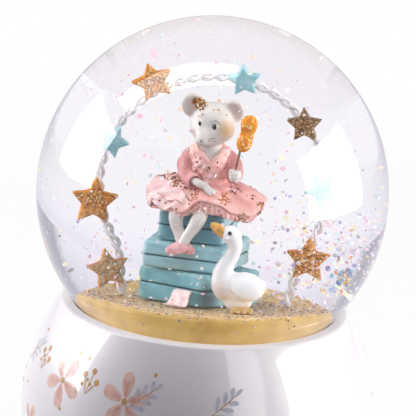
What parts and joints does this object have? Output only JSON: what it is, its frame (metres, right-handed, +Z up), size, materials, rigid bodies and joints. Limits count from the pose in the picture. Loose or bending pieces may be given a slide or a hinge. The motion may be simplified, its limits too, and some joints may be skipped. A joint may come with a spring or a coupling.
{
  "type": "musical snow globe",
  "caption": "Glass snow globe on a rounded white base: a mouse sits on stacked boxes under a wire arch with stars beside a goose; a wind-up musical movement is in the base.",
  "frame": {"origin": "centre of the footprint, on the surface the rubber feet stand on", "axes": "+Z up along the globe's axis, -Y towards the front of the figures, +X to the figures' right-hand side as seen from the front"},
  "size_m": [0.102, 0.102, 0.136],
  "materials": {
    "glass": "clear blown glass",
    "stopper_rubber": "matt pale rubber",
    "sand": "painted resin with glitter",
    "white_glaze": "glossy white",
    "cover_board": "matt",
    "screw_steel": "plated",
    "foot_rubber": "matt",
    "box_teal": "painted resin",
    "ribbon_cloth": "painted resin",
    "dress_pink": "painted resin with glitter",
    "mouse_white": "painted resin",
    "shoe_pink": "painted resin",
    "lolly_orange": "glittery",
    "stick_wood": "painted",
    "goose_white": "painted resin",
    "beak_yellow": "painted resin",
    "arch_wire": "white coated wire",
    "star_gold": "gold glitter",
    "star_teal": "painted",
    "key_metal": "plated",
    "brass": "plain brass",
    "spring_steel": "ground steel",
    "cast_zinc": "cast, plated"
  },
  "bodies": {
    "globe": {"glass_globe": "glass", "globe_stopper": "stopper_rubber", "sand_disc": "sand", "base_shell": "white_glaze", "bottom_cover": "cover_board", "cover_screw_1": "screw_steel", "cover_screw_2": "screw_steel", "cover_screw_3": "screw_steel", "rubber_foot_1": "foot_rubber", "rubber_foot_2": "foot_rubber", "rubber_foot_3": "foot_rubber", "rubber_foot_4": "foot_rubber", "lower_box": "box_teal", "middle_box": "box_teal", "upper_box": "box_teal", "ribbon": "ribbon_cloth", "mouse_skirt": "dress_pink", "mouse_bodice": "dress_pink", "mouse_sleeve_left": "dress_pink", "mouse_sleeve_right": "dress_pink", "mouse_head": "mouse_white", "mouse_hand_left": "mouse_white", "mouse_hand_right": "mouse_white", "mouse_leg_left": "mouse_white", "mouse_leg_right": "mouse_white", "mouse_shoe_left": "shoe_pink", "mouse_shoe_right": "shoe_pink", "lolly_head": "lolly_orange", "lolly_stick": "stick_wood", "goose_body": "goose_white", "goose_beak": "beak_yellow", "arch_wire_front": "arch_wire", "arch_wire_back": "arch_wire", "star_1": "star_gold", "star_2": "star_gold", "star_3": "star_teal", "star_4": "star_gold", "star_5": "star_teal", "star_6": "star_gold", "star_7": "star_teal", "star_8": "star_gold", "spring_barrel": "brass", "mainspring": "spring_steel", "bedplate": "cast_zinc", "near_bracket": "cast_zinc", "far_bracket": "cast_zinc", "comb": "spring_steel", "comb_screw_1": "screw_steel", "comb_screw_2": "screw_steel", "governor_bracket": "cast_zinc", "movement_screw_1": "screw_steel", "movement_screw_2": "screw_steel", "movement_screw_3": "screw_steel"},
    "winder": {"winding_key": "key_metal", "winding_arbor": "spring_steel", "crown_wheel": "brass"},
    "cylinder": {"pinned_cylinder": "brass", "drive_gear": "brass"},
    "governor_gear": {"governor_wheel": "brass"},
    "governor": {"governor_worm": "spring_steel"}
  },
  "joints": [
    {"name": "winder_turn", "type": "hinge", "parent": "globe", "child": "winder", "pos_m": [-0.011, 0, 0.012], "axis": [0, 0, 1], "continuous": true},
    {"name": "cylinder_turn", "type": "hinge", "parent": "globe", "child": "cylinder", "pos_m": [0.0136, 0, 0.0257], "axis": [1, 0, 0], "continuous": true},
    {"name": "governor_wheel_turn", "type": "hinge", "parent": "globe", "child": "governor_gear", "pos_m": [0.0206, -0.012, 0.0257], "axis": [1, 0, 0], "continuous": true},
    {"name": "governor_turn", "type": "hinge", "parent": "globe", "child": "governor", "pos_m": [0.0206, -0.0176, 0.0257], "axis": [0, 0, 1], "continuous": true}
  ],
  "couplings": [
    {"joint": "cylinder_turn", "follows": "winder_turn", "ratio": 2},
    {"joint": "governor_wheel_turn", "follows": "winder_turn", "ratio": -6},
    {"joint": "governor_turn", "follows": "winder_turn", "ratio": -48}
  ]
}
